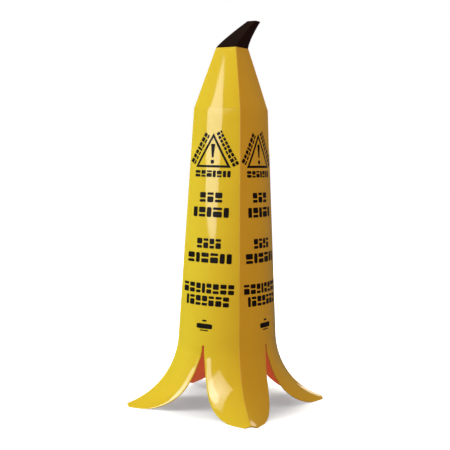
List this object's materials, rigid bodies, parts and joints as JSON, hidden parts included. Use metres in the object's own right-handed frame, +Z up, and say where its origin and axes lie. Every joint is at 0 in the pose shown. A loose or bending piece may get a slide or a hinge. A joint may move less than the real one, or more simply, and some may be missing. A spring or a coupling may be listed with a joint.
{
  "type": "wet floor cone",
  "caption": "Free-standing wet floor cone like a half-peeled banana: hollow yellow square-section shell with splayed peel-strip legs, a leaning brown stem and printed warning symbols.",
  "frame": {"origin": "on the floor, on the body's vertical axis, at the centre of the square that the four toes fill", "axes": "+Z up; -Y, +X, +Y and -X are the outward directions of the front, right, back and left faces; the ridges, legs and the stem's lean towards +X +Y lie on the diagonals"},
  "size_m": [0.37, 0.37, 0.933],
  "materials": {
    "shell_yellow": "glossy moulded polypropylene, yellow outside and red-orange in shade inside",
    "stem_brown": "dark brown moulded plastic with a low sheen",
    "print_black": "screen-printed black ink film"
  },
  "bodies": {
    "cone": {"peel_shell": "shell_yellow", "hazard_symbol_front": "print_black", "hazard_symbol_right": "print_black", "hazard_symbol_back": "print_black", "hazard_symbol_left": "print_black", "message_bars_front": "print_black", "message_bars_right": "print_black", "message_bars_back": "print_black", "message_bars_left": "print_black"},
    "stem": {"stem_cap": "stem_brown"}
  },
  "joints": [
    {"name": "stem_lift", "type": "slide", "parent": "cone", "child": "stem", "axis": [0, 0, 1], "range_m": [0, 0.06]}
  ]
}
